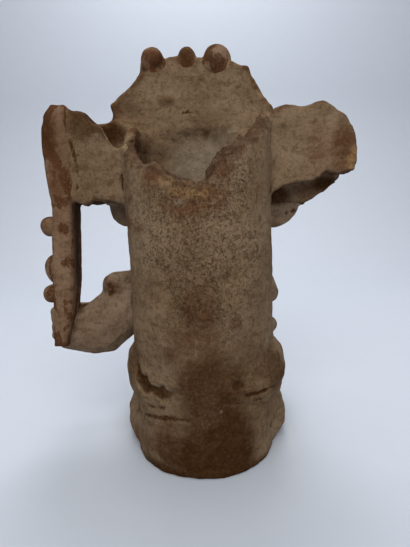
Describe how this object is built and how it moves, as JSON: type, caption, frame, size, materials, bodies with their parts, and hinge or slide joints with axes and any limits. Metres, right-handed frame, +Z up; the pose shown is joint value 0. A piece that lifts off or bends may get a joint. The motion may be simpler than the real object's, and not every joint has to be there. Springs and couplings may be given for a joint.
{
  "type": "terracotta effigy urn",
  "caption": "Unglazed terracotta effigy urn: an upright tube vessel with a broken mouth, carrying a seated figure with a winged headdress and a staff.",
  "frame": {"origin": "centre of the vessel's round underside, on the surface that it stands on", "axes": "+Z up along the vessel, -Y the way the figure faces, +X the figure's left, where the staff is"},
  "size_m": [0.2241, 0.1495, 0.2973],
  "materials": {
    "weathered_clay": "unglazed fired clay, grey-brown and matt, with fine dark pits, stains and pale scuffs",
    "figure_clay": "unglazed fired clay, smoothed by hand, matt, with earth in the creases",
    "ruddy_clay": "unglazed fired clay, worn to its redder body, matt"
  },
  "bodies": {
    "root": {"vessel_wall": "weathered_clay", "vessel_floor": "weathered_clay", "plinth": "weathered_clay", "left_thigh": "weathered_clay", "right_thigh": "weathered_clay", "left_shin": "figure_clay", "right_shin": "figure_clay", "left_foot": "figure_clay", "right_foot": "figure_clay", "torso": "figure_clay", "belt": "figure_clay", "loincloth": "figure_clay", "left_wing_back": "weathered_clay", "left_wing_front": "weathered_clay", "right_wing_back": "weathered_clay", "right_wing_front": "weathered_clay", "right_wing_end": "weathered_clay", "staff": "ruddy_clay", "staff_boss_1": "ruddy_clay", "staff_boss_2": "ruddy_clay", "staff_boss_3": "ruddy_clay", "headdress_panel": "weathered_clay", "crest_knob_left": "ruddy_clay", "crest_knob_centre": "ruddy_clay", "crest_knob_right": "ruddy_clay", "head": "figure_clay", "nose": "figure_clay", "left_eye": "figure_clay", "right_eye": "figure_clay", "upper_lip": "figure_clay", "lower_lip": "figure_clay", "brow_band": "figure_clay", "brow_bead_1": "ruddy_clay", "brow_bead_2": "ruddy_clay", "brow_bead_3": "ruddy_clay", "brow_bead_4": "ruddy_clay", "brow_bead_5": "ruddy_clay", "headdress_tier": "figure_clay", "medallion": "figure_clay", "medallion_boss": "ruddy_clay", "left_ear_spool": "figure_clay", "right_ear_spool": "figure_clay", "left_spool_boss": "ruddy_clay", "right_spool_boss": "ruddy_clay", "collar": "figure_clay", "collar_bead_1": "ruddy_clay", "collar_bead_2": "ruddy_clay", "collar_bead_3": "ruddy_clay", "collar_bead_4": "ruddy_clay", "collar_bead_5": "ruddy_clay", "left_upper_arm": "figure_clay", "left_forearm": "figure_clay", "left_hand": "figure_clay", "right_upper_arm": "figure_clay", "right_forearm": "figure_clay", "right_hand": "figure_clay"}
  },
  "joints": []
}
